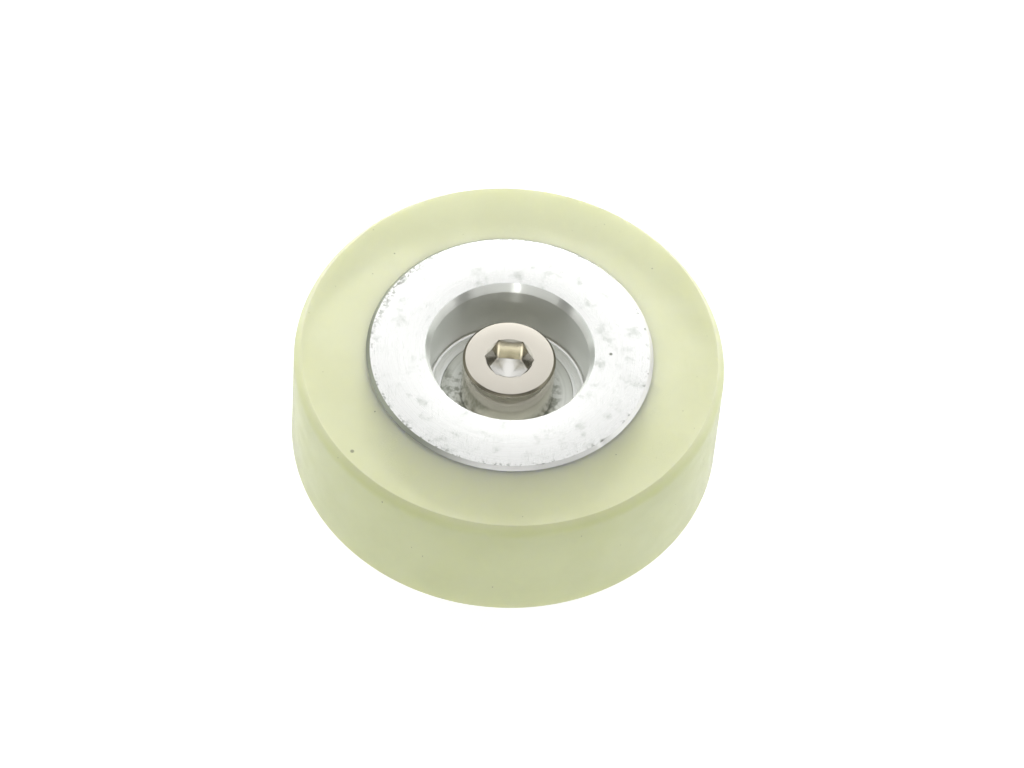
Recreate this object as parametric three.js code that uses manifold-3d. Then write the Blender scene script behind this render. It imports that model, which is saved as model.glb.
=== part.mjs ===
// A cam follower: a polyurethane-tyred roller that turns on a deep-groove ball bearing, held by a
// socket-head screw that doubles as its stud. Millimetres. The origin is the centre of the screw's
// tip, and +Z runs along the roller's axis towards the screw's head.
import * as THREE from 'three';
import { mergeVertices } from 'three/addons/utils/BufferGeometryUtils.js';
import Module from 'manifold-3d';

const wasm = await Module();
wasm.setup();

// Roller: the tyre is cast on the hub's rim, and the hub's faces stand a little proud of it.
const TYRE_DIAMETER = 60;
const TYRE_WIDTH = 19;
const TYRE_REAR_EDGE_RADIUS = 0.3;
const TYRE_BEVEL_WIDTH = 1; // the bevel between the tread and the front face, measured along the radius
const TYRE_BEVEL_HEIGHT = 1.3;
const HUB_DIAMETER = 40;
const HUB_WIDTH = 20;
const HUB_EDGE_CHAMFER = 0.5;

// Hub bore: a lead-in at the mouth, the counterbore, the bearing's seat, a lip and the rear hole.
const MOUTH_DIAMETER = 23.6;
const LEAD_IN_DEPTH = 1.3;
const COUNTERBORE_DIAMETER = 22.3;
const BEARING_DEPTH = 9.7;
const REAR_HOLE_DIAMETER = 18;
const REAR_HOLE_CHAMFER = 0.5;

// Ball bearing of the 8 x 22 x 7 size, with seven balls and a shield on each side.
const BEARING_BORE = 8;
const BEARING_DIAMETER = 22;
const BEARING_WIDTH = 7;
const BALL_COUNT = 7;
const BALL_DIAMETER = 3.969;
const PITCH_DIAMETER = 15;
const SHOULDER_HEIGHT = 1.45; // from the balls' pitch circle to each ring's shoulder
const RACE_CLEARANCE = 0.075; // between a ball and its groove
const OUTER_CORNER = 0.4;
const INNER_CORNER = 0.3;

// Shields: pressed discs that sit in a recess of the outer ring and clear the inner ring.
const SHIELD_INNER_RADIUS = 6.25;
const SHIELD_OUTER_RADIUS = 9.3;
const SHIELD_THICKNESS = 0.28;
const SHIELD_SETBACK = 0.15;
const SHIELD_RIM_DROP = 0.2;
const SHIELD_RIM_WIDTH = 0.6;

// Cage: two pressed ribbons that wrap the balls and are riveted together between them.
const CAGE_INNER_RADIUS = 6.75;
const CAGE_OUTER_RADIUS = 8.25;
const CAGE_THICKNESS = 0.25;
const CAGE_HALF_GAP = 0.05;
const POCKET_RADIUS = 2.2;
const RIVET_RADIUS = 0.4;
const RIVET_HOLE_RADIUS = 0.5;
const RIVET_HEAD_RADIUS = 0.62;
const RIVET_HEAD_HEIGHT = 0.22;

// Screw of the M8 size and the spacer that carries the bearing's inner ring clear of the arm.
const THREAD_DIAMETER = 7.9;
const SCREW_LENGTH = 25;
const TIP_CHAMFER = 0.75;
const HEAD_DIAMETER = 13;
const HEAD_HEIGHT = 8;
const HEAD_EDGE_CHAMFER = 0.36;
const HEAD_FOOT_CHAMFER = 0.3;
const SOCKET_ACROSS_FLATS = 6;
const SOCKET_DEPTH = 4.2;
const SOCKET_FLOOR_DROP = 0.7;
const SOCKET_FLOOR_RADIUS = 0.5;
const COUNTERSINK_DIAMETER = 7.1;
const COUNTERSINK_DEPTH = 0.5;
const SPACER_DIAMETER = 12;
const SPACER_BORE = 8.4;
const SPACER_STANDOFF = 1; // how far the spacer stands out behind the hub's rear face
const SPACER_CHAMFER = 0.3;

// Distance between pieces that are pressed, bonded or clamped together.
const FIT_GAP = 0.02;

// Levels along the axis, from the screw's tip.
const BEARING_FRONT = SCREW_LENGTH;
const BEARING_REAR = BEARING_FRONT - BEARING_WIDTH;
const BEARING_MIDDLE = BEARING_FRONT - BEARING_WIDTH / 2;
const HUB_FRONT = BEARING_FRONT + BEARING_DEPTH;
const HUB_REAR = HUB_FRONT - HUB_WIDTH;
const TYRE_REAR = HUB_REAR + (HUB_WIDTH - TYRE_WIDTH) / 2;
const TYRE_FRONT = TYRE_REAR + TYRE_WIDTH;
const SPACER_REAR = HUB_REAR - SPACER_STANDOFF;

// Facets around the turned pieces.
const SEGMENTS = 60;
const RIVET_SEGMENTS = 8;
const POCKET_STEPS = 8;

const PITCH_RADIUS = PITCH_DIAMETER / 2;
const BALL_RADIUS = BALL_DIAMETER / 2;
const RACE_RADIUS = BALL_RADIUS + RACE_CLEARANCE;

/** Points of an arc in the plane of the outline, from one angle to another in degrees. */
function arc(centreRadius, centreZ, radius, fromDegrees, toDegrees, steps) {
  const points = [];
  for (let step = 0; step <= steps; step += 1) {
    const angle = THREE.MathUtils.degToRad(THREE.MathUtils.lerp(fromDegrees, toDegrees, step / steps));
    points.push([centreRadius + radius * Math.cos(angle), centreZ + radius * Math.sin(angle)]);
  }
  return points;
}

/** Turns an outline that starts and ends on the axis, listed from its low end to its high end. */
function turnedBar(outline, segments = SEGMENTS) {
  const points = outline.map(([radius, z]) => new THREE.Vector2(radius, z));
  return new THREE.LatheGeometry(points, segments).rotateX(Math.PI / 2);
}

/** Turns an outline that closes on itself, listed anticlockwise with radius to the right. */
function turnedRing(outline) {
  return turnedBar([...outline, outline[0]]);
}

/** A cylinder, cone or prism along Z between two levels. */
function upright(lowRadius, highRadius, low, high, sides) {
  const geometry = new THREE.CylinderGeometry(highRadius, lowRadius, high - low, sides);
  return geometry.rotateX(Math.PI / 2).translate(0, 0, (low + high) / 2);
}

/** A closed geometry as a solid that can be cut, without the flat triangles at a lathe's poles. */
function toSolid(geometry) {
  const bare = geometry.clone();
  bare.deleteAttribute('normal');
  bare.deleteAttribute('uv');
  const merged = mergeVertices(bare);
  const corners = merged.index.array;
  const triangles = [];
  for (let first = 0; first < corners.length; first += 3) {
    const triangle = [...corners.slice(first, first + 3)];
    if (new Set(triangle).size === 3) triangles.push(...triangle);
  }
  const vertProperties = merged.attributes.position.array;
  const triVerts = Uint32Array.from(triangles);
  return new wasm.Manifold(new wasm.Mesh({ numProp: 3, vertProperties, triVerts }));
}

function toGeometry(solid) {
  const mesh = solid.getMesh();
  const geometry = new THREE.BufferGeometry();
  geometry.setAttribute('position', new THREE.BufferAttribute(mesh.vertProperties, 3));
  geometry.setIndex(new THREE.BufferAttribute(mesh.triVerts, 1));
  geometry.computeVertexNormals();
  return geometry;
}

/** The geometry left after every cutter has been taken out of the first one. */
function cut(geometry, cutters) {
  const solid = cutters.reduce((rest, cutter) => rest.subtract(toSolid(cutter)), toSolid(geometry));
  return toGeometry(solid);
}

function tyre() {
  const radius = TYRE_DIAMETER / 2;
  const seat = HUB_DIAMETER / 2 + FIT_GAP;
  const edge = TYRE_REAR_EDGE_RADIUS;
  return turnedRing([
    [seat, TYRE_REAR],
    ...arc(radius - edge, TYRE_REAR + edge, edge, -90, 0, 3),
    [radius, TYRE_FRONT - TYRE_BEVEL_HEIGHT],
    [radius - TYRE_BEVEL_WIDTH / 3, TYRE_FRONT - TYRE_BEVEL_HEIGHT / 2],
    [radius - TYRE_BEVEL_WIDTH, TYRE_FRONT],
    [seat, TYRE_FRONT],
  ]);
}

function hub() {
  const rim = HUB_DIAMETER / 2;
  const bearingSeat = BEARING_DIAMETER / 2 + FIT_GAP;
  const rearHole = REAR_HOLE_DIAMETER / 2;
  return turnedRing([
    [rearHole + REAR_HOLE_CHAMFER, HUB_REAR],
    [rim - HUB_EDGE_CHAMFER, HUB_REAR],
    [rim, HUB_REAR + HUB_EDGE_CHAMFER],
    [rim, HUB_FRONT - HUB_EDGE_CHAMFER],
    [rim - HUB_EDGE_CHAMFER, HUB_FRONT],
    [MOUTH_DIAMETER / 2, HUB_FRONT],
    [COUNTERBORE_DIAMETER / 2, HUB_FRONT - LEAD_IN_DEPTH],
    [COUNTERBORE_DIAMETER / 2, BEARING_FRONT],
    [bearingSeat, BEARING_FRONT],
    [bearingSeat, BEARING_REAR - FIT_GAP],
    [rearHole, BEARING_REAR - FIT_GAP],
    [rearHole, HUB_REAR + REAR_HOLE_CHAMFER],
  ]);
}

/** Half the angle of a race's groove, at the balls' centre, where it runs out into the shoulders. */
function raceHalfAngle() {
  return THREE.MathUtils.radToDeg(Math.acos(SHOULDER_HEIGHT / RACE_RADIUS));
}

function outerRing() {
  const radius = BEARING_DIAMETER / 2;
  const shoulder = PITCH_RADIUS + SHOULDER_HEIGHT;
  const recess = SHIELD_OUTER_RADIUS + FIT_GAP;
  const recessDepth = SHIELD_SETBACK + SHIELD_RIM_DROP + SHIELD_THICKNESS + FIT_GAP;
  const halfAngle = raceHalfAngle();
  return turnedRing([
    ...arc(radius - OUTER_CORNER, BEARING_REAR + OUTER_CORNER, OUTER_CORNER, -90, 0, 2),
    ...arc(radius - OUTER_CORNER, BEARING_FRONT - OUTER_CORNER, OUTER_CORNER, 0, 90, 2),
    [recess, BEARING_FRONT],
    [recess, BEARING_FRONT - recessDepth],
    [shoulder, BEARING_FRONT - recessDepth],
    ...arc(PITCH_RADIUS, BEARING_MIDDLE, RACE_RADIUS, halfAngle, -halfAngle, 6),
    [shoulder, BEARING_REAR + recessDepth],
    [recess, BEARING_REAR + recessDepth],
    [recess, BEARING_REAR],
  ]);
}

function innerRing() {
  const bore = BEARING_BORE / 2;
  const shoulder = PITCH_RADIUS - SHOULDER_HEIGHT;
  const halfAngle = raceHalfAngle();
  return turnedRing([
    [bore + INNER_CORNER, BEARING_REAR],
    [shoulder, BEARING_REAR],
    ...arc(PITCH_RADIUS, BEARING_MIDDLE, RACE_RADIUS, 180 + halfAngle, 180 - halfAngle, 6),
    [shoulder, BEARING_FRONT],
    [bore + INNER_CORNER, BEARING_FRONT],
    [bore, BEARING_FRONT - INNER_CORNER],
    [bore, BEARING_REAR + INNER_CORNER],
  ]);
}

/** The front shield; its rim steps back into the outer ring's recess. */
function shield() {
  const face = BEARING_FRONT - SHIELD_SETBACK;
  const rim = face - SHIELD_RIM_DROP;
  const stepRadius = SHIELD_OUTER_RADIUS - SHIELD_RIM_WIDTH;
  const slopeRadius = stepRadius - SHIELD_RIM_DROP;
  return turnedRing([
    [SHIELD_INNER_RADIUS, face - SHIELD_THICKNESS],
    [slopeRadius, face - SHIELD_THICKNESS],
    [stepRadius, rim - SHIELD_THICKNESS],
    [SHIELD_OUTER_RADIUS, rim - SHIELD_THICKNESS],
    [SHIELD_OUTER_RADIUS, rim],
    [stepRadius, rim],
    [slopeRadius, face],
    [SHIELD_INNER_RADIUS, face],
  ]);
}

/** Turns a front piece of the bearing over, so that it becomes the matching rear piece. */
function turnedOver(geometry) {
  return geometry.translate(0, 0, -BEARING_MIDDLE).rotateX(Math.PI).translate(0, 0, BEARING_MIDDLE);
}

/** Where a point lies that is a given length around the pitch circle from ball number index. */
function aroundPitch(index, radius, length, z) {
  const angle = (2 * Math.PI * index) / BALL_COUNT + length / PITCH_RADIUS;
  return [radius * Math.cos(angle), radius * Math.sin(angle), BEARING_MIDDLE + z];
}

/** The corners of the ribbon's section at one step of the arc over a ball. */
function ribbonSection(index, step) {
  const outside = POCKET_RADIUS + CAGE_THICKNESS;
  const foot = Math.asin(CAGE_THICKNESS / outside);
  const lowAngle = Math.PI * (1 - step / POCKET_STEPS);
  const highAngle = THREE.MathUtils.lerp(Math.PI - foot, foot, step / POCKET_STEPS);
  const low = [POCKET_RADIUS * Math.cos(lowAngle), CAGE_HALF_GAP + POCKET_RADIUS * Math.sin(lowAngle)];
  const high = [outside * Math.cos(highAngle), CAGE_HALF_GAP + outside * Math.sin(highAngle)];
  return [
    aroundPitch(index, CAGE_INNER_RADIUS, ...low),
    aroundPitch(index, CAGE_OUTER_RADIUS, ...low),
    aroundPitch(index, CAGE_OUTER_RADIUS, ...high),
    aroundPitch(index, CAGE_INNER_RADIUS, ...high),
  ];
}

/** The front half of the cage: a flat ribbon that arches over each ball, drilled for the rivets. */
function cageHalf() {
  const sections = [];
  for (let index = 0; index < BALL_COUNT; index += 1) {
    for (let step = 0; step <= POCKET_STEPS; step += 1) sections.push(ribbonSection(index, step));
  }
  const indices = [];
  sections.forEach((section, first) => {
    const here = first * 4;
    const next = ((first + 1) % sections.length) * 4;
    for (let corner = 0; corner < 4; corner += 1) {
      const turn = (corner + 1) % 4;
      indices.push(here + corner, next + corner, next + turn);
      indices.push(here + corner, next + turn, here + turn);
    }
  });
  const ribbon = new THREE.BufferGeometry();
  ribbon.setAttribute('position', new THREE.Float32BufferAttribute(sections.flat(2), 3));
  ribbon.setIndex(indices);

  const holes = [];
  for (let index = 0; index < BALL_COUNT; index += 1) {
    const hole = upright(RIVET_HOLE_RADIUS, RIVET_HOLE_RADIUS, -1, 1, RIVET_SEGMENTS);
    holes.push(hole.translate(...aroundPitch(index + 0.5, PITCH_RADIUS, 0, 0)));
  }
  return cut(ribbon, holes);
}

/** A rivet, centred on its own middle; its two heads clamp the flats of the cage's halves. */
function rivet() {
  const under = CAGE_HALF_GAP + CAGE_THICKNESS + FIT_GAP;
  const crown = under + RIVET_HEAD_HEIGHT;
  const edge = under + RIVET_HEAD_HEIGHT / 2;
  const halfOutline = [
    [RIVET_RADIUS, under],
    [RIVET_HEAD_RADIUS, under],
    [RIVET_HEAD_RADIUS, edge],
    [RIVET_HEAD_RADIUS / 2, crown],
    [0, crown],
  ];
  const mirrored = halfOutline.map(([radius, z]) => [radius, -z]).reverse();
  return turnedBar([...mirrored, ...halfOutline], RIVET_SEGMENTS);
}

/** A hexagonal prism or frustum with two flats square to the Y axis. */
function hexagon(lowRadius, highRadius, low, high) {
  return upright(lowRadius, highRadius, low, high, 6).rotateZ(Math.PI / 6);
}

/** The screw: a plain bar of the thread's outside diameter, and a head with a hexagon socket. */
function screw() {
  const thread = THREAD_DIAMETER / 2;
  const head = HEAD_DIAMETER / 2;
  const seat = SCREW_LENGTH + FIT_GAP;
  const top = SCREW_LENGTH + HEAD_HEIGHT;
  const blank = turnedBar([
    [0, 0],
    [thread - TIP_CHAMFER, 0],
    [thread, TIP_CHAMFER],
    [thread, seat],
    [head - HEAD_FOOT_CHAMFER, seat],
    [head, seat + HEAD_FOOT_CHAMFER],
    [head, top - HEAD_EDGE_CHAMFER],
    [head - HEAD_EDGE_CHAMFER, top],
    [0, top],
  ]);
  const corner = SOCKET_ACROSS_FLATS / Math.sqrt(3);
  const floor = top - SOCKET_DEPTH;
  const above = top + COUNTERSINK_DEPTH;
  const mouth = COUNTERSINK_DIAMETER / 2;
  const throat = SOCKET_ACROSS_FLATS / 2;
  const socket = hexagon(corner, corner, floor, above);
  const socketFloor = hexagon(SOCKET_FLOOR_RADIUS, corner, floor - SOCKET_FLOOR_DROP, floor);
  const countersink = upright(throat, 2 * mouth - throat, top - COUNTERSINK_DEPTH, above, SEGMENTS);
  return cut(blank, [socket, socketFloor, countersink]);
}

function spacer() {
  const radius = SPACER_DIAMETER / 2;
  const bore = SPACER_BORE / 2;
  const front = BEARING_REAR - FIT_GAP;
  return turnedRing([
    [bore, SPACER_REAR],
    [radius - SPACER_CHAMFER, SPACER_REAR],
    [radius, SPACER_REAR + SPACER_CHAMFER],
    [radius, front - SPACER_CHAMFER],
    [radius - SPACER_CHAMFER, front],
    [bore, front],
  ]);
}

const polyurethane = new THREE.MeshStandardMaterial({ color: 0xdde0b6, roughness: 0.3, metalness: 0 });
const aluminium = new THREE.MeshStandardMaterial({ color: 0xe6e7e5, roughness: 0.35, metalness: 1 });
const bearingSteel = new THREE.MeshStandardMaterial({ color: 0xc9cac8, roughness: 0.25, metalness: 1 });
const pressedSteel = new THREE.MeshStandardMaterial({ color: 0xb9bab6, roughness: 0.4, metalness: 1 });
const nickel = new THREE.MeshStandardMaterial({ color: 0xd8d2c4, roughness: 0.25, metalness: 1 });
const zinc = new THREE.MeshStandardMaterial({ color: 0xbfc2c3, roughness: 0.4, metalness: 1 });

const group = new THREE.Group();

/** Adds one named piece to the assembly, each with a material of its own. */
function add(name, geometry, material) {
  const mesh = new THREE.Mesh(geometry, material.clone());
  mesh.name = name;
  group.add(mesh);
  return mesh;
}

add('tyre', tyre(), polyurethane);
add('hub', hub(), aluminium);
add('bearing_outer_ring', outerRing(), bearingSteel);
add('bearing_inner_ring', innerRing(), bearingSteel);
add('shield_front', shield(), pressedSteel);
add('shield_rear', turnedOver(shield()), pressedSteel);
add('cage_front', cageHalf(), pressedSteel);
add('cage_rear', turnedOver(cageHalf()), pressedSteel);
for (let index = 0; index < BALL_COUNT; index += 1) {
  const ball = add(`ball_${index + 1}`, new THREE.IcosahedronGeometry(BALL_RADIUS, 2), bearingSteel);
  ball.position.set(...aroundPitch(index, PITCH_RADIUS, 0, 0));
  const pin = add(`rivet_${index + 1}`, rivet(), pressedSteel);
  pin.position.set(...aroundPitch(index + 0.5, PITCH_RADIUS, 0, 0));
}
add('screw', screw(), nickel);
add('spacer', spacer(), zinc);

export default group;
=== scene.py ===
"""A cam follower: a polyurethane-tyred roller on a ball bearing, held by a socket-head screw."""
import math

import bpy
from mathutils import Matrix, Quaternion, Vector, noise


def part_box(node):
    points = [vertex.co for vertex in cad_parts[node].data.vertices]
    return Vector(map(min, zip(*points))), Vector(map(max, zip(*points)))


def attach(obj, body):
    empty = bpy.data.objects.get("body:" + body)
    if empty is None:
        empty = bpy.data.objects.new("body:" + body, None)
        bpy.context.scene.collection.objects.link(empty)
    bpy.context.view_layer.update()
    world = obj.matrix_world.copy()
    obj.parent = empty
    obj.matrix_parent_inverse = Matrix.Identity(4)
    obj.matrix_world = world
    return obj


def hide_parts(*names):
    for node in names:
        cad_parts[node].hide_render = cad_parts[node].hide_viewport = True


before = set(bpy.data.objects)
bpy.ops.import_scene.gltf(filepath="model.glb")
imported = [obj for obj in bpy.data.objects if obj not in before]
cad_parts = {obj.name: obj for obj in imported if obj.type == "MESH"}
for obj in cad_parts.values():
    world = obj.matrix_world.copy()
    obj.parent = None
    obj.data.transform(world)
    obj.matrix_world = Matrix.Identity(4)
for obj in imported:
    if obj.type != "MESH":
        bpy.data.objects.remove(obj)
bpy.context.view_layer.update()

MM = 0.001

# Facets around the turned pieces, and steps along each rounded edge. An edge that bends by more
# than SMOOTH_BELOW stays sharp.
AROUND = 288
AROUND_SMALL = 96
ROUNDING_STEPS = 5
SMOOTH_BELOW = math.radians(32)


# ---------------------------------------------------------------- sizes, in millimetres


def extent(node):
    """The outer radius, low end and high end of a turned CAD node."""
    low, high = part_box(node)
    return high.x / MM, low.z / MM, high.z / MM


TYRE_RADIUS, TYRE_REAR, TYRE_FRONT = extent("tyre")
HUB_RIM, HUB_REAR, HUB_FRONT = extent("hub")
RING_RADIUS, BEARING_REAR, BEARING_FRONT = extent("bearing_outer_ring")
INNER_SHOULDER = extent("bearing_inner_ring")[0]
SHIELD_RADIUS = extent("shield_front")[0]
HEAD_RADIUS, SCREW_TIP, HEAD_TOP = extent("screw")
SPACER_RADIUS, SPACER_REAR, SPACER_FRONT = extent("spacer")
BALL_RADIUS = (extent("ball_1")[2] - extent("ball_1")[1]) / 2

# The rounding of an edge that is only just broken.
BROKEN_EDGE = 0.05

# Tyre.
TYRE_BEVEL_WIDTH = 1.0
TYRE_BEVEL_HEIGHT = 1.3

# Hub. The lip at the foot of the counterbore stakes the bearing in its seat. The notch in the
# front edge is placed and measured in degrees round the axis.
HUB_CHAMFER = 0.5
BORE_MOUTH = 11.8
COUNTERBORE = 11.15
LEAD_IN = 1.3
STAKED_LIP = 0.5
REAR_HOLE = 9.0
CHIP_DEPTH = 0.35
NOTCH_AT = 314
NOTCH_WIDTH = 1.3

# Ball bearing. Each ring's groove starts as a corner that lies GROOVE_CORNER past the balls and
# reaches GROOVE_REACH to each side of the middle. Rounding it brings its bottom about 0.07 mm
# inside the balls, where no one can see it.
BEARING_MIDDLE = (BEARING_FRONT + BEARING_REAR) / 2
PITCH_RADIUS = 7.5
OUTER_SHOULDER = PITCH_RADIUS + 1.45
GROOVE_REACH = 1.45
GROOVE_ROUNDING = 1.9
GROOVE_CORNER = 0.07
SHIELD_RECESS = 0.65
SHIELD_THICKNESS = 0.28
SHIELD_HOLE = 6.25
SHIELD_STEP = 0.02
BEARING_BORE = 4.0

# Screw and spacer. The thread is cut down to a cone at the tip. The socket's throat is half the
# distance across its flats, and its mouth is round.
TIP_RADIUS = 3.1
TIP_WIDENING = 0.9
TIP_HEIGHT = 0.75
THREAD_PITCH = 1.25
THREAD_CREST = 3.95
THREAD_DEPTH = 0.75
THREAD_STEP = 0.104
HEAD_BEVEL = 0.36
SOCKET_THROAT = 3.0
SOCKET_MOUTH = 3.3
COUNTERSINK = 0.3
SOCKET_FLOOR = HEAD_TOP - 4.2
SPACER_BORE = 4.2


# ---------------------------------------------------------------- outlines and turned meshes


def rounded(corners):
    """A closed outline of (radius, z) from corners of (radius, z, edge radius)."""
    outline = []
    for index, (radius, z, edge) in enumerate(corners):
        here = Vector((radius, z))
        if edge == 0:
            outline.append(here)
            continue
        before = (Vector(corners[index - 1][:2]) - here).normalized()
        after = (Vector(corners[(index + 1) % len(corners)][:2]) - here).normalized()
        half_angle = before.angle(after) / 2
        start = before * edge / math.tan(half_angle)
        end = after * edge / math.tan(half_angle)
        centre = (before + after).normalized() * edge / math.sin(half_angle)
        for step in range(ROUNDING_STEPS + 1):
            spoke = (start - centre).slerp(end - centre, step / ROUNDING_STEPS) * edge
            outline.append(here + centre + spoke)
    return outline


def mesh_object(name, points, faces):
    """A smooth-shaded mesh object from points in millimetres, with its real edges kept sharp."""
    mesh = bpy.data.meshes.new(name)
    mesh.from_pydata([(x * MM, y * MM, z * MM) for x, y, z in points], [], faces)
    mesh.validate()
    mesh.shade_smooth()
    mesh.set_sharp_from_angle(angle=SMOOTH_BELOW)
    made = bpy.data.objects.new(name, mesh)
    bpy.context.scene.collection.objects.link(made)
    return made


def grid_faces(rows, columns, rows_close):
    """Quads between neighbouring rows of points; the columns close round the axis."""
    faces = []
    for row in range(rows if rows_close else rows - 1):
        above = (row + 1) % rows
        for column in range(columns):
            beside = (column + 1) % columns
            faces.append((row * columns + column, row * columns + beside,
                          above * columns + beside, above * columns + column))
    return faces


def turned_ring(name, outline, columns=AROUND, shape=None):
    """Turns an anticlockwise closed outline about Z; shape(radius, z, angle) may move its points."""
    points = []
    for radius, z in outline:
        for column in range(columns):
            angle = 2 * math.pi * column / columns
            r, height = shape(radius, z, angle) if shape else (radius, z)
            points.append((r * math.cos(angle), r * math.sin(angle), height))
    return mesh_object(name, points, grid_faces(len(outline), columns, True))


def turned_bar(name, rows, columns=AROUND_SMALL):
    """A solid bar from its low end to its high end; each row gives (radius, z) at an angle."""
    points = []
    for row in rows:
        for column in range(columns):
            angle = 2 * math.pi * column / columns
            radius, z = row(angle)
            points.append((radius * math.cos(angle), radius * math.sin(angle), z))
    faces = grid_faces(len(rows), columns, False)
    top_row = (len(rows) - 1) * columns
    low_centre, high_centre = len(points), len(points) + 1
    points.append((0, 0, rows[0](0)[1]))
    points.append((0, 0, rows[-1](0)[1]))
    for column in range(columns):
        beside = (column + 1) % columns
        faces.append((low_centre, beside, column))
        faces.append((high_centre, top_row + column, top_row + beside))
    return mesh_object(name, points, faces)


def stand_for(piece, node, body, finish):
    """The piece takes a CAD node's place on its body, with that finish."""
    piece.data.materials.append(finish)
    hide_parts(node)
    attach(piece, body)


# ---------------------------------------------------------------- node material helpers


def new_finish(name):
    """A material, and its node tree with a Principled shader as it comes."""
    material = bpy.data.materials.new(name)
    material.use_nodes = True
    return material, material.node_tree


def feed(tree, socket, value):
    """Links another node's output to the socket, or sets the socket to a plain value."""
    if isinstance(value, bpy.types.NodeSocket):
        tree.links.new(value, socket)
    else:
        socket.default_value = value


def add(tree, kind, inputs=None, **settings):
    """Adds a node; each input is a number, a colour or another node's output."""
    made = tree.nodes.new(kind)
    for key, value in settings.items():
        setattr(made, key, value)
    for key, value in (inputs or {}).items():
        feed(tree, made.inputs[key], value)
    return made


def shade(tree, **sockets):
    """Sets or links the Principled shader's sockets, named with underscores for spaces."""
    shader = tree.nodes["Principled BSDF"]
    for key, value in sockets.items():
        feed(tree, shader.inputs[key.replace("_", " ")], value)


def calculate(tree, operation, first, second=0.0):
    """A number worked out from one or two others."""
    return add(tree, "ShaderNodeMath", {0: first, 1: second}, operation=operation).outputs[0]


def product(tree, first, second):
    return calculate(tree, "MULTIPLY", first, second)


def larger(tree, first, second):
    return calculate(tree, "MAXIMUM", first, second)


def fade(tree, value, start, end, low=0.0, high=1.0):
    """Maps value from start..end to low..high smoothly, and holds it there beyond."""
    inputs = {"Value": value, "From Min": start, "From Max": end, "To Min": low, "To Max": high}
    made = add(tree, "ShaderNodeMapRange", inputs, interpolation_type="SMOOTHSTEP")
    return made.outputs["Result"]


def mixed(tree, factor, first, second):
    """A colour between two colours."""
    factor_input, first_input, second_input, colour_output = 0, 6, 7, 2
    inputs = {factor_input: factor, first_input: first, second_input: second}
    return add(tree, "ShaderNodeMix", inputs, data_type="RGBA").outputs[colour_output]


def place(tree):
    """The point on the piece, in millimetres in the part's own frame."""
    point = add(tree, "ShaderNodeTexCoord").outputs["Object"]
    scaled = add(tree, "ShaderNodeVectorMath", {0: point, "Scale": 1 / MM}, operation="SCALE")
    return scaled.outputs[0]


def radius_and_z(tree):
    """The point's distance from the axis and its level, in millimetres."""
    split = add(tree, "ShaderNodeSeparateXYZ", {0: place(tree)}).outputs
    square_x = product(tree, split["X"], split["X"])
    square_y = product(tree, split["Y"], split["Y"])
    radius = calculate(tree, "SQRT", calculate(tree, "ADD", square_x, square_y))
    return radius, split["Z"]


def towards(tree, direction):
    """How far the point lies from the axis towards a direction, in millimetres."""
    inputs = {0: place(tree), 1: direction}
    return add(tree, "ShaderNodeVectorMath", inputs, operation="DOT_PRODUCT").outputs["Value"]


def near_point(tree, point, reach):
    """1 within half that reach of a point in millimetres, falling to 0 at the whole reach."""
    distance = add(tree, "ShaderNodeVectorMath", {0: place(tree), 1: point}, operation="DISTANCE")
    return fade(tree, distance.outputs["Value"], reach, reach / 2)


def speckle(tree, size, detail=2.0, roughness=0.5, vector=None):
    """Noise with features about size millimetres across, from 0 to 1."""
    inputs = {"Vector": vector or place(tree), "Scale": 1 / size,
              "Detail": detail, "Roughness": roughness}
    return add(tree, "ShaderNodeTexNoise", inputs).outputs["Fac"]


def turning_marks(tree, pitch):
    """Fine rings left by a lathe, on faces and on walls alike."""
    radius, z = radius_and_z(tree)
    across = calculate(tree, "DIVIDE", calculate(tree, "ADD", radius, z), pitch)
    inputs = {"W": across, "Scale": 1.0, "Detail": 3.0, "Roughness": 0.6}
    return add(tree, "ShaderNodeTexNoise", inputs, noise_dimensions="1D").outputs["Fac"]


def scratches(tree, turn, length, width, share):
    """Thin scratches that run one way: 1 on a scratch and 0 between them."""
    inputs = {"Vector": place(tree), "Rotation": (0, 0, turn),
              "Scale": (1 / width, 1 / length, 1 / length)}
    stretched = add(tree, "ShaderNodeMapping", inputs).outputs[0]
    grain = speckle(tree, 1, 1.0, 0.5, stretched)
    distance = calculate(tree, "ABSOLUTE", calculate(tree, "SUBTRACT", grain, 0.5))
    line = fade(tree, distance, 0.0, share, 1.0, 0.0)
    patches = fade(tree, speckle(tree, length, 1.0), 0.5, 0.62)
    return product(tree, line, patches)


def bumped(tree, height, depth, below=None):
    """A normal for that height, depth millimetres tall at 1, on top of another normal."""
    inputs = {"Height": height, "Distance": depth * MM, "Strength": 1.0}
    if below is not None:
        inputs["Normal"] = below
    return add(tree, "ShaderNodeBump", inputs).outputs["Normal"]


# ---------------------------------------------------------------- finishes


# Colours are linear red, green, blue and alpha. Where there are two shades, a pattern mixes them.

# Cast polyurethane, with a paler pair of shades on the tyre's front face as painted light.
TREAD_SHADES = (0.75, 0.78, 0.49, 1), (0.78, 0.81, 0.53, 1)
LIT_FACE_SHADES = (0.79, 0.80, 0.56, 1), (0.82, 0.83, 0.60, 1)
TYRE_SPECK = (0.30, 0.30, 0.20, 1)
TYRE_SPOT_AT = (-20.4, -18.8, TYRE_FRONT)

# Hub: dirt lies on the side in this direction from the axis, and painted shade darkens the chamfer on
# that side. Each spot on its face has a reach.
ALUMINIUM = (0.72, 0.725, 0.71, 1)
DULL_ALUMINIUM = (0.50, 0.52, 0.49, 1)
CHAMFER_UNSHADED = (0.80, 0.80, 0.78, 1)
CHAMFER_PAINTED_SHADE = (0.31, 0.33, 0.27, 1)
DIRT = (0.20, 0.21, 0.18, 1)
DIRT_AND_SHADE_SIDE = (-0.87, 0.5, 0)
HUB_SPOTS = ((14.0, 0.9, HUB_FRONT), 0.3), ((13.75, -14.1, HUB_FRONT), 0.5)

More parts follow.
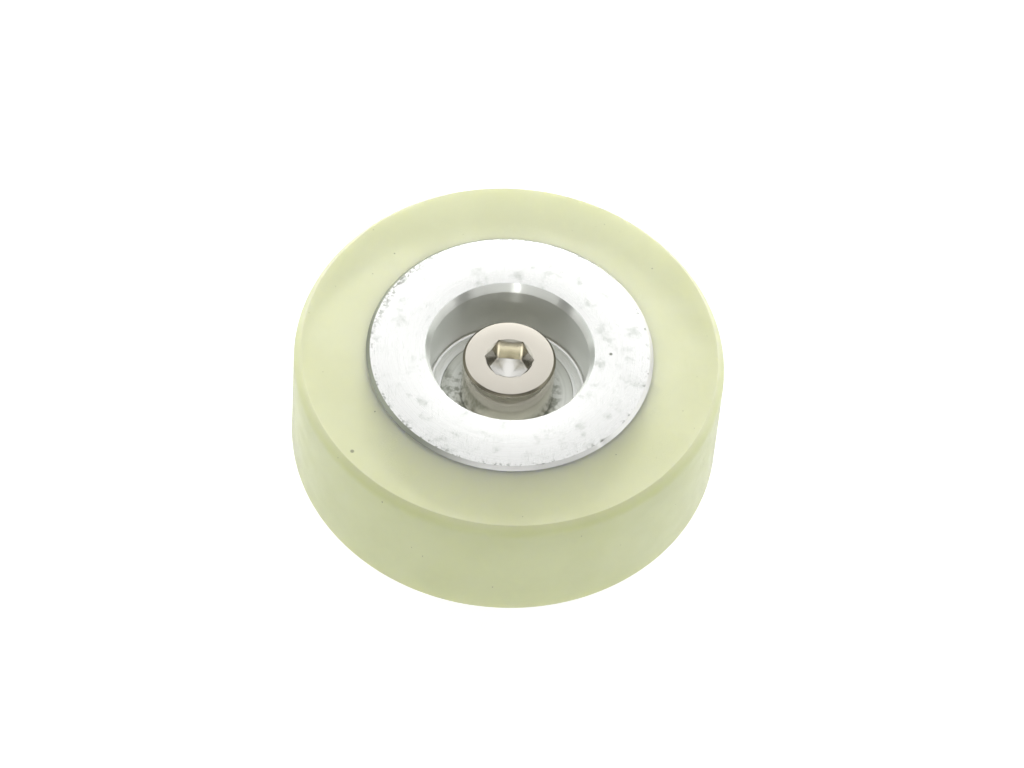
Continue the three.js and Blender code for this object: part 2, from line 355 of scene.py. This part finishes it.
# Shield: grease lies round the screw's head, and further out on one side.
SHIELD_SHADES = (0.62, 0.635, 0.59, 1), (0.82, 0.835, 0.785, 1)
GREASE = (0.26, 0.28, 0.22, 1)
GREASY_SIDE = (-0.94, -0.34, 0)

# Nickel plate on each part of the screw. Painted light: the side has brighter shades than the top, the
# bevel and the socket's walls painted shade, and the socket's floor a painted highlight. The socket's
# walls run from the first shade to the second.
NICKEL_SHADED_TOP_SHADES = (0.56, 0.53, 0.465, 1), (0.59, 0.56, 0.495, 1)
NICKEL_LIT_SIDE_SHADES = (0.68, 0.645, 0.57, 1), (0.73, 0.695, 0.62, 1)
NICKEL_BEVEL_PAINTED_SHADE = (0.21, 0.195, 0.145, 1)
NICKEL_SOCKET_PAINTED_SHADES = (0.54, 0.52, 0.45, 1), (0.30, 0.285, 0.225, 1)
NICKEL_SOCKET_FLOOR_HIGHLIGHT = (0.95, 0.94, 0.90, 1)
NICKEL_THREAD = (0.46, 0.445, 0.40, 1)


def tyre_colour(tree):
    """Cloudy pale yellow-green, paler on the front face as painted light, with a few dark specks and one
    larger spot.
    """
    cloud = fade(tree, speckle(tree, 9, 3.0), 0.35, 0.65)
    _, z = radius_and_z(tree)
    on_face = fade(tree, z, TYRE_FRONT - 1.0, TYRE_FRONT - 0.1)
    tread = mixed(tree, cloud, *TREAD_SHADES)
    # Painted light: the front face takes paler shades than the tread.
    face = mixed(tree, cloud, *LIT_FACE_SHADES)
    speck = fade(tree, speckle(tree, 0.55, 0.0), 0.86, 0.89)
    spot = near_point(tree, TYRE_SPOT_AT, 0.35)
    return mixed(tree, larger(tree, speck, spot), mixed(tree, on_face, tread, face), TYRE_SPECK)


def polyurethane_finish():
    """Cast polyurethane: softly translucent, with a fine grain and light scuffs."""
    material, tree = new_finish("polyurethane")
    normal = bumped(tree, speckle(tree, 0.12, 2.0), 0.004)
    normal = bumped(tree, scratches(tree, 0.5, 6, 0.06, 0.02), 0.01, normal)
    rough = fade(tree, speckle(tree, 3, 3.0), 0.3, 0.7, 0.36, 0.46)
    shade(tree, Base_Color=tyre_colour(tree), Roughness=rough, Normal=normal, IOR=1.5,
          Subsurface_Weight=1.0, Subsurface_Radius=(1.0, 1.0, 0.55), Subsurface_Scale=0.0034,
          Transmission_Weight=0.55)
    return material


def hub_dirt(tree, radius, off_axis):
    """1 where dirt lies: specks along the rim, smears on the dirty side and the stained spots."""
    edge = fade(tree, radius, HUB_RIM - 1.3, HUB_RIM - 0.2)
    dirt = product(tree, edge, fade(tree, speckle(tree, 0.5, 3.0), 0.55, 0.65))
    dirty_side = fade(tree, off_axis, 16, 20)
    near_rim = fade(tree, radius, HUB_RIM - 2.2, HUB_RIM - 0.7)
    smears = fade(tree, speckle(tree, 0.5, 3.0, 0.6), 0.46, 0.6)
    smears = product(tree, product(tree, dirty_side, near_rim), smears)
    dirt = larger(tree, dirt, smears)
    for spot, reach in HUB_SPOTS:
        dirt = larger(tree, dirt, near_point(tree, spot, reach))
    return dirt


def aluminium_finish():
    """Turned aluminium: lathe rings, scratches, dull patches, a dirty rim and painted shade on one side
    of the chamfer.
    """
    material, tree = new_finish("turned_aluminium")
    radius, _ = radius_and_z(tree)
    off_axis = towards(tree, DIRT_AND_SHADE_SIDE)
    marks = turning_marks(tree, 0.09)
    worn = larger(tree, scratches(tree, 0.3, 4, 0.10, 0.03), scratches(tree, 2.3, 3, 0.12, 0.03))
    dull = fade(tree, speckle(tree, 2.6, 5.0, 0.65), 0.52, 0.74)
    colour = mixed(tree, dull, ALUMINIUM, DULL_ALUMINIUM)
    colour = mixed(tree, product(tree, worn, 0.8), colour, DULL_ALUMINIUM)
    colour = mixed(tree, hub_dirt(tree, radius, off_axis), colour, DIRT)
    chamfer_from = HUB_RIM - HUB_CHAMFER
    on_chamfer = fade(tree, radius, chamfer_from - 0.05, chamfer_from + 0.05)
    # Painted shade: the chamfer is darker and greener on one side.
    painted_shade_side = fade(tree, off_axis, -10, 4)
    chamfer_colour = mixed(tree, painted_shade_side, CHAMFER_UNSHADED, CHAMFER_PAINTED_SHADE)
    colour = mixed(tree, on_chamfer, colour, chamfer_colour)
    face_rough = fade(tree, marks, 0.2, 0.8, 0.24, 0.42)
    rough = calculate(tree, "ADD", face_rough, fade(tree, on_chamfer, 0, 1, 0, 0.15))
    normal = bumped(tree, marks, 0.004)
    normal = bumped(tree, worn, 0.006, normal)
    normal = bumped(tree, speckle(tree, 0.35, 3.0), 0.004, normal)
    shade(tree, Base_Color=colour, Metallic=1.0, Roughness=rough, Normal=normal)
    return material


def bore_finish():
    """The bored recess: fine tool lines round the wall, which stretch each reflection upright."""
    material, tree = new_finish("bored_aluminium")
    marks = turning_marks(tree, 0.11)
    colour = mixed(tree, marks, (0.87, 0.89, 0.845, 1), (0.92, 0.94, 0.90, 1))
    around = add(tree, "ShaderNodeTangent", direction_type="RADIAL", axis="Z").outputs[0]
    shade(tree, Base_Color=colour, Metallic=1.0, Roughness=0.3, Anisotropic=1.0,
          Anisotropic_Rotation=0.25, Tangent=around, Normal=bumped(tree, marks, 0.005))
    return material


def bond_and_shade_finish():
    """The hub's rim under the tyre: a dark green bond coat that is also painted shade seen through the
    tyre, paling towards the rear as painted light.
    """
    material, tree = new_finish("bond_coat_and_painted_shade")
    _, z = radius_and_z(tree)
    colour = mixed(tree, speckle(tree, 1.5, 2.0), (0.12, 0.15, 0.05, 1), (0.18, 0.21, 0.09, 1))
    # Painted light: the rim pales to the tyre's colour towards the rear, as if lit through the tyre from
    # below.
    painted_light_from_below = fade(tree, z, TYRE_FRONT, TYRE_REAR)
    colour = mixed(tree, painted_light_from_below, colour, (0.74, 0.78, 0.52, 1))
    shade(tree, Base_Color=colour, Roughness=0.6)
    return material


def bearing_steel_finish():
    """Ground bearing steel with faint concentric grinding lines."""
    material, tree = new_finish("ground_steel")
    marks = turning_marks(tree, 0.05)
    colour = mixed(tree, speckle(tree, 1.2, 3.0), (0.80, 0.81, 0.79, 1), (0.88, 0.89, 0.87, 1))
    rough = fade(tree, marks, 0.2, 0.8, 0.2, 0.34)
    shade(tree, Base_Color=colour, Metallic=1.0, Roughness=rough, Normal=bumped(tree, marks, 0.002))
    return material


def shield_finish():
    """Pressed steel shield with soft swirls, under patches of greenish-grey grease."""
    material, tree = new_finish("greasy_shield")
    radius, _ = radius_and_z(tree)
    marks = turning_marks(tree, 0.5)
    near_head = fade(tree, radius, 8.2, 7.0)
    far_side = fade(tree, towards(tree, GREASY_SIDE), 5.5, 8.0)
    mottle = fade(tree, speckle(tree, 0.7, 4.0, 0.6), 0.40, 0.62)
    patchy = fade(tree, mottle, 0, 1, 0.2, 0.7)
    grease = product(tree, larger(tree, near_head, far_side), patchy)
    colour = mixed(tree, grease, mixed(tree, marks, *SHIELD_SHADES), GREASE)
    rough = fade(tree, grease, 0.0, 1.0, 0.34, 0.5)
    metal = fade(tree, grease, 0.0, 1.0, 1.0, 0.5)
    normal = bumped(tree, mottle, 0.01, bumped(tree, marks, 0.006))
    shade(tree, Base_Color=colour, Metallic=metal, Roughness=rough, Normal=normal)
    return material


def pressed_steel_finish():
    """Plain pressed steel of the cage and rivets."""
    material, tree = new_finish("pressed_steel")
    grain = speckle(tree, 0.3, 3.0)
    colour = mixed(tree, grain, (0.56, 0.57, 0.55, 1), (0.70, 0.71, 0.69, 1))
    shade(tree, Base_Color=colour, Metallic=1.0, Roughness=0.35, Normal=bumped(tree, grain, 0.003))
    return material


def nickel_colour(tree, z, on_bevel, in_socket):
    """Warm nickel with painted light: darker on top and brighter down the side, painted shade on the
    bevel and deep in the socket, a painted highlight on the socket's floor.
    """
    patches = speckle(tree, 2.5, 3.0)
    # Painted shade: the bevel is nearly black.
    colour = mixed(tree, on_bevel, mixed(tree, patches, *NICKEL_LIT_SIDE_SHADES), NICKEL_BEVEL_PAINTED_SHADE)
    # Painted shade: the socket's walls darken with depth.
    deep = fade(tree, z, SOCKET_FLOOR + 2.8, SOCKET_FLOOR + 1.2)
    colour = mixed(tree, in_socket, colour, mixed(tree, deep, *NICKEL_SOCKET_PAINTED_SHADES))
    # Painted highlight: the socket's floor is nearly white.
    below_wall = fade(tree, z, SOCKET_FLOOR + 0.05, SOCKET_FLOOR - 0.05)
    colour = mixed(tree, product(tree, in_socket, below_wall), colour, NICKEL_SOCKET_FLOOR_HIGHLIGHT)
    on_thread = fade(tree, z, BEARING_FRONT + 0.02, BEARING_FRONT - 0.02)
    colour = mixed(tree, on_thread, colour, NICKEL_THREAD)
    # Painted light: the top takes darker shades than the side.
    on_top = fade(tree, z, HEAD_TOP - 0.05, HEAD_TOP - 0.01)
    return mixed(tree, on_top, colour, mixed(tree, patches, *NICKEL_SHADED_TOP_SHADES))


def nickel_finish():
    """Nickel plate on a cold-headed screw, a little rougher on the bevel and in the socket."""
    material, tree = new_finish("nickel_plate")
    radius, z = radius_and_z(tree)
    bevel_from = HEAD_TOP - HEAD_BEVEL
    on_bevel = fade(tree, z, bevel_from - 0.04, bevel_from + 0.04)
    in_socket = fade(tree, radius, SOCKET_MOUTH + 0.1, SOCKET_MOUTH)
    blurred = larger(tree, on_bevel, product(tree, in_socket, 0.25))
    rough = fade(tree, blurred, 0, 1, 0.14, 0.28)
    normal = bumped(tree, speckle(tree, 0.15, 3.0), 0.001)
    colour = nickel_colour(tree, z, on_bevel, in_socket)
    shade(tree, Base_Color=colour, Metallic=1.0, Roughness=rough, Normal=normal)
    return material


def zinc_finish():
    """Bright zinc plate over turned steel."""
    material, tree = new_finish("zinc_plate")
    marks = turning_marks(tree, 0.12)
    colour = mixed(tree, speckle(tree, 2.0, 3.0), (0.66, 0.68, 0.70, 1), (0.76, 0.77, 0.77, 1))
    rough = fade(tree, marks, 0.2, 0.8, 0.26, 0.4)
    shade(tree, Base_Color=colour, Metallic=1.0, Roughness=rough, Normal=bumped(tree, marks, 0.004))
    return material


# ---------------------------------------------------------------- pieces


def make_tyre():
    """The cast tyre, bevelled at the front; its inside lies just under the hub's surface."""
    seat = HUB_RIM - 0.05
    outline = rounded([
        (seat, TYRE_REAR, 0),
        (TYRE_RADIUS, TYRE_REAR, 0.3),
        (TYRE_RADIUS, TYRE_FRONT - TYRE_BEVEL_HEIGHT, 1.6),
        (TYRE_RADIUS - TYRE_BEVEL_WIDTH, TYRE_FRONT, 0.15),
        (seat, TYRE_FRONT, 0),
    ])
    return turned_ring("cast_tyre", outline)


def chipped_edge(radius, z, angle):
    """Takes small chips and one notch out of the hub's front edge, and moves nothing else."""
    if z < HUB_FRONT - 0.5 or radius < HUB_RIM - 1.2:
        return radius, z
    waves, threshold = 14, 0.28
    around = Vector((math.cos(angle), math.sin(angle), 0)) * waves
    chip = max(0.0, noise.noise(around) - threshold)
    notch = math.exp(-((math.degrees(angle) - NOTCH_AT) / NOTCH_WIDTH) ** 2)
    return radius - (chip + notch) * CHIP_DEPTH, z


def make_hub():
    """The turned hub, with its counterbore, the bearing's seat and the hole behind it."""
    outline = rounded([
        (REAR_HOLE + 0.5, HUB_REAR, BROKEN_EDGE),
        (HUB_RIM - HUB_CHAMFER, HUB_REAR, 0.1),
        (HUB_RIM, HUB_REAR + HUB_CHAMFER, 0.1),
        (HUB_RIM, TYRE_FRONT - 0.05, 0),
        (HUB_RIM, HUB_FRONT - HUB_CHAMFER, 0),
        (HUB_RIM - HUB_CHAMFER, HUB_FRONT, BROKEN_EDGE),
        (BORE_MOUTH, HUB_FRONT, BROKEN_EDGE),
        (COUNTERBORE, HUB_FRONT - LEAD_IN, BROKEN_EDGE),
        (COUNTERBORE, BEARING_FRONT, STAKED_LIP),
        (COUNTERBORE - STAKED_LIP, BEARING_FRONT, 0),
        (RING_RADIUS, BEARING_FRONT - 0.02, 0),
        (RING_RADIUS, BEARING_REAR, 0),
        (REAR_HOLE, BEARING_REAR, BROKEN_EDGE),
        (REAR_HOLE, HUB_REAR + 0.5, BROKEN_EDGE),
    ])
    return turned_ring("turned_hub", outline, shape=chipped_edge)


def make_outer_ring():
    """The bearing's outer ring, with its ball groove and a recess each side for a shield."""
    recess = SHIELD_RADIUS + 0.02
    outline = rounded([
        (RING_RADIUS, BEARING_REAR, 0.4),
        (RING_RADIUS, BEARING_FRONT, 0.4),
        (recess, BEARING_FRONT, 0.03),
        (recess, BEARING_FRONT - SHIELD_RECESS, 0),
        (OUTER_SHOULDER, BEARING_FRONT - SHIELD_RECESS, BROKEN_EDGE),
        (OUTER_SHOULDER, BEARING_MIDDLE + GROOVE_REACH, 0),
        (PITCH_RADIUS + BALL_RADIUS + GROOVE_CORNER, BEARING_MIDDLE, GROOVE_ROUNDING),
        (OUTER_SHOULDER, BEARING_MIDDLE - GROOVE_REACH, 0),
        (OUTER_SHOULDER, BEARING_REAR + SHIELD_RECESS, BROKEN_EDGE),
        (recess, BEARING_REAR + SHIELD_RECESS, 0),
        (recess, BEARING_REAR, 0.03),
    ])
    return turned_ring("ground_outer_ring", outline)


def make_inner_ring():
    """The bearing's inner ring, with its ball groove."""
    outline = rounded([
        (BEARING_BORE, BEARING_REAR, 0.3),
        (INNER_SHOULDER, BEARING_REAR, 0.12),
        (INNER_SHOULDER, BEARING_MIDDLE - GROOVE_REACH, 0),
        (PITCH_RADIUS - BALL_RADIUS - GROOVE_CORNER, BEARING_MIDDLE, GROOVE_ROUNDING),
        (INNER_SHOULDER, BEARING_MIDDLE + GROOVE_REACH, 0),
        (INNER_SHOULDER, BEARING_FRONT, 0.12),
        (BEARING_BORE, BEARING_FRONT, 0.3),
    ])
    return turned_ring("ground_inner_ring", outline)


def make_shield(name, node, side):
    """A pressed shield whose rim steps back slightly; side is 1 at the front and -1 at the rear."""
    low, high = extent(node)[1:]
    face = high if side > 0 else low
    rim = face - side * SHIELD_STEP
    bend_end = SHIELD_RADIUS - 0.4
    bend_start = SHIELD_RADIUS - 1.2
    section = [
        (SHIELD_HOLE, face - side * SHIELD_THICKNESS, 0.05),
        (bend_start, face - side * SHIELD_THICKNESS, 0.1),
        (bend_end, rim - side * SHIELD_THICKNESS, 0.1),
        (SHIELD_RADIUS, rim - side * SHIELD_THICKNESS, 0.05),
        (SHIELD_RADIUS, rim, 0.03),
        (bend_end, rim, 0.4),
        (bend_start, face, 0.4),
        (SHIELD_HOLE, face, 0.08),
    ]
    return turned_ring(name, rounded(section if side > 0 else section[::-1]))


def thread_radius(angle, z):
    """The M8 thread's surface: flat crests and roots with steep flanks, winding right-handed."""
    flat_share, flank_share = 0.16, 0.62
    turn = (z / THREAD_PITCH - angle / (2 * math.pi)) % 1
    from_crest = abs(turn - 0.5) * 2
    slope = min(max((from_crest - flat_share) / flank_share, 0), 1)
    return THREAD_CREST - THREAD_DEPTH * slope


def thread_row(z):
    """A row of the thread, kept inside the cone at the screw's tip."""
    cone = TIP_RADIUS + (z - SCREW_TIP) * TIP_WIDENING / TIP_HEIGHT
    return lambda angle: (min(thread_radius(angle, z), cone), z)


def plain_row(radius, z):
    """A round row of the screw."""
    return lambda angle: (radius, z)


def hexagon_radius(angle):
    """The socket wall's distance from the axis at an angle."""
    flat = math.pi / 3
    off_flat = (angle % flat) - flat / 2
    return SOCKET_THROAT / math.cos(off_flat)


def mouth_row(angle):
    """The edge of the socket's mouth: round, and just outside the hexagon's corners."""
    return max(SOCKET_MOUTH, hexagon_radius(angle) + 0.02), HEAD_TOP


def countersunk_row(angle):
    """Where the countersink at the socket's mouth meets the hexagon's wall."""
    radius = hexagon_radius(angle)
    cut_in = max(SOCKET_MOUTH - radius, 0) / (SOCKET_MOUTH - SOCKET_THROAT)
    return radius, HEAD_TOP - COUNTERSINK * cut_in


def make_screw():
    """One surface from the tip up the thread, round the head and down into the hexagon socket."""
    head = rounded([
        (3.9, BEARING_FRONT, 0),
        (HEAD_RADIUS, BEARING_FRONT, 0.3),
        (HEAD_RADIUS, HEAD_TOP - HEAD_BEVEL, 0.08),
        (HEAD_RADIUS - HEAD_BEVEL, HEAD_TOP, 0.06),
        (4.0, HEAD_TOP, 0),
    ])
    floor_cone = [(2.6, SOCKET_FLOOR - 0.14), (0.3, SOCKET_FLOOR - 0.66)]
    steps = int((BEARING_FRONT - SCREW_TIP) / THREAD_STEP)
    rows = [plain_row(TIP_RADIUS, SCREW_TIP)]
    rows += [thread_row(SCREW_TIP + THREAD_STEP * (step + 0.5)) for step in range(steps)]
    rows += [plain_row(radius, z) for radius, z in head]
    rows += [mouth_row, countersunk_row, lambda angle: (hexagon_radius(angle), SOCKET_FLOOR)]
    rows += [plain_row(radius, z) for radius, z in floor_cone]
    return turned_bar("socket_head_screw", rows)


def make_spacer():
    """The plain ring between the bearing's inner ring and the arm."""
    outline = rounded([
        (SPACER_BORE, SPACER_REAR, 0.1),
        (SPACER_RADIUS, SPACER_REAR, 0.3),
        (SPACER_RADIUS, SPACER_FRONT, 0.3),
        (SPACER_BORE, SPACER_FRONT, 0.1),
    ])
    return turned_ring("turned_spacer", outline, AROUND_SMALL * 2)


# ---------------------------------------------------------------- assembly


def finish_the_hub(hub, bond, bored, burnished):
    """Gives the rim under the tyre its bond coat and painted shade, the recess its bored wall and the
    lip a bright one.
    """
    for finish in (bond, bored, burnished):
        hub.data.materials.append(finish)
    on_rim, on_wall, on_lip = 1, 2, 3
    for face in hub.data.polygons:
        centre = face.center / MM
        radius = math.hypot(centre.x, centre.y)
        if radius > HUB_RIM - 0.02 and TYRE_REAR < centre.z < TYRE_FRONT:
            face.material_index = on_rim
        if radius < BORE_MOUTH and BEARING_FRONT + STAKED_LIP < centre.z < HUB_FRONT - 0.01:
            face.material_index = on_wall
        if radius < BORE_MOUTH and BEARING_FRONT - 0.01 < centre.z < BEARING_FRONT + STAKED_LIP:
            face.material_index = on_lip


def assemble():
    """Puts the new pieces in place, and finishes the CAD pieces that stay inside the bearing."""
    steel = bearing_steel_finish()
    greasy = shield_finish()
    pressed = pressed_steel_finish()
    hub = make_hub()
    stand_for(make_tyre(), "tyre", "roller", polyurethane_finish())
    stand_for(hub, "hub", "roller", aluminium_finish())
    finish_the_hub(hub, bond_and_shade_finish(), bore_finish(), steel)
    stand_for(make_outer_ring(), "bearing_outer_ring", "roller", steel)
    stand_for(make_inner_ring(), "bearing_inner_ring", "stud", steel)
    shields = ("front_shield", "shield_front", 1), ("rear_shield", "shield_rear", -1)
    for name, node, side in shields:
        stand_for(make_shield(name, node, side), node, "roller", greasy)
    stand_for(make_screw(), "screw", "stud", nickel_finish())
    stand_for(make_spacer(), "spacer", "stud", zinc_finish())
    kept_finishes = {"cage": pressed, "rivet": pressed, "ball": steel}
    for name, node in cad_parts.items():
        finish = kept_finishes.get(name.split("_")[0])
        if finish is not None:
            node.data.materials.clear()
            node.data.materials.append(finish)


# ---------------------------------------------------------------- floor, light and camera


# The camera's distance and lens are in millimetres, and the point it looks at is in metres.
CAMERA_ELEVATION = math.radians(54.6)
CAMERA_DISTANCE = 750
CAMERA_ROLL = math.radians(4.8)
CAMERA_AIM = Vector((0.65, 0, TYRE_REAR + 11.75)) * MM
LENS = 185.9

FLOOR_HALF = 1500
FLOOR_GLOW = 0.62
ROOM_LIGHT = 0.25

# Each soft box: its place and size in millimetres, and its radiance, where 1 is white in a mirror.
SOFT_BOXES = {
    "overhead": ((0, 200, 780), (1200, 1200), 0.66),
    "back": ((0, 260, 130), (520, 240), 3.2),
    "left": ((-650, 50, 300), (600, 600), 1.15),
    "right": ((650, 50, 300), (600, 600), 1.2),
    "flash": ((-24, -800, 330), (20, 30), 230),
    "front": ((0, -700, 290), (1800, 400), 0.95),
}


def make_camera():
    """A long lens from the front and above, rolled a little."""
    camera = bpy.data.objects.new("camera", bpy.data.cameras.new("camera"))
    camera.data.lens = LENS
    camera.data.clip_start = 0.01
    back = Vector((0, -math.cos(CAMERA_ELEVATION), math.sin(CAMERA_ELEVATION)))
    camera.location = Vector((0, 0, TYRE_REAR * MM)) + back * CAMERA_DISTANCE * MM
    look = (CAMERA_AIM - camera.location).to_track_quat("-Z", "Y")
    camera.rotation_mode = "QUATERNION"
    camera.rotation_quaternion = look @ Quaternion((0, 0, 1), CAMERA_ROLL)
    bpy.context.scene.collection.objects.link(camera)
    bpy.context.scene.camera = camera


def make_floor():
    """A white floor at the level of the screw's tip, bright enough to lose the roller's shadow."""
    sides = ((-1, -1), (1, -1), (1, 1), (-1, 1))
    corners = [(x * FLOOR_HALF, y * FLOOR_HALF, SCREW_TIP) for x, y in sides]
    floor = mesh_object("floor", corners, [(0, 1, 2, 3)])
    material, tree = new_finish("white_floor")
    shade(tree, Base_Color=(0.6, 0.6, 0.6, 1), Roughness=0.8,
          Emission_Color=(1, 1, 1, 1), Emission_Strength=FLOOR_GLOW)
    floor.data.materials.append(material)


def make_light(name, place_mm, size_mm, radiance):
    """A rectangular soft box that faces the roller."""
    width, height = (side * MM for side in size_mm)
    light = bpy.data.lights.new(name, "AREA")
    light.shape = "RECTANGLE"
    light.size, light.size_y = width, height
    light.energy = radiance * math.pi * width * height
    made = bpy.data.objects.new(name, light)
    made.location = Vector(place_mm) * MM
    made.rotation_mode = "QUATERNION"
    made.rotation_quaternion = (CAMERA_AIM - made.location).to_track_quat("-Z", "Y")
    bpy.context.scene.collection.objects.link(made)


def make_lights():
    for name, (place_mm, size_mm, radiance) in SOFT_BOXES.items():
        make_light(name, place_mm, size_mm, radiance)


def make_room():
    """An even white surround."""
    world = bpy.data.worlds.new("room")
    world.use_nodes = True
    background = world.node_tree.nodes["Background"]
    background.inputs["Color"].default_value = (1, 1, 1, 1)
    background.inputs["Strength"].default_value = ROOM_LIGHT
    bpy.context.scene.world = world
    bpy.context.scene.view_settings.view_transform = "Standard"


make_camera()
assemble()
make_floor()
make_lights()
make_room()
